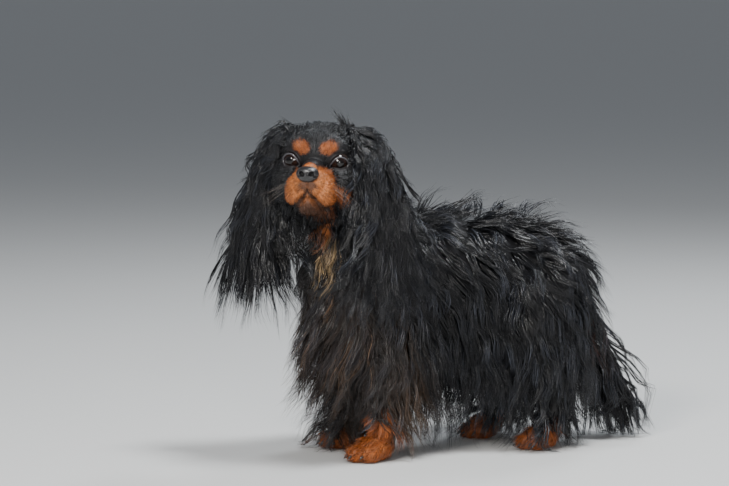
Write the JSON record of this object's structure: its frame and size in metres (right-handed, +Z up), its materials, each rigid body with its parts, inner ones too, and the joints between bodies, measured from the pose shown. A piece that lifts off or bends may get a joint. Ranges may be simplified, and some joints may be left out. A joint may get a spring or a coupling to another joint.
{
  "type": "spaniel model",
  "caption": "Still, life-size model of a black and tan toy spaniel with long ears, standing with its head turned aside.",
  "frame": {"origin": "middle of the footprint box on the floor plane under the paws", "axes": "+Z up, the body faces -Y with its rump to +Y, the dog's own left is +X"},
  "size_m": [0.2382, 0.556, 0.4299],
  "materials": {
    "black_coat": "glossy long wavy black coat with a cool grey sheen",
    "tan_coat": "short to medium rust-tan coat",
    "eye": "wet, glossy dark brown eye with a black pupil",
    "nose_leather": "moist pebbled black leather",
    "collar_web": "dark woven band",
    "collar_metal": "polished chrome"
  },
  "bodies": {
    "root": {"chest": "black_coat", "collar": "collar_web", "collar_ring": "collar_metal", "ear_left": "black_coat", "ear_right": "black_coat", "eye_left": "eye", "eye_right": "eye", "foreleg_left": "black_coat", "foreleg_right": "black_coat", "forepaw_left": "tan_coat", "forepaw_right": "tan_coat", "head": "black_coat", "hindleg_left": "black_coat", "hindleg_right": "black_coat", "hindpaw_left": "tan_coat", "hindpaw_right": "tan_coat", "jaw": "tan_coat", "neck": "black_coat", "nose": "nose_leather", "tail_end": "black_coat", "tail_root": "black_coat", "torso": "black_coat"}
  },
  "joints": []
}
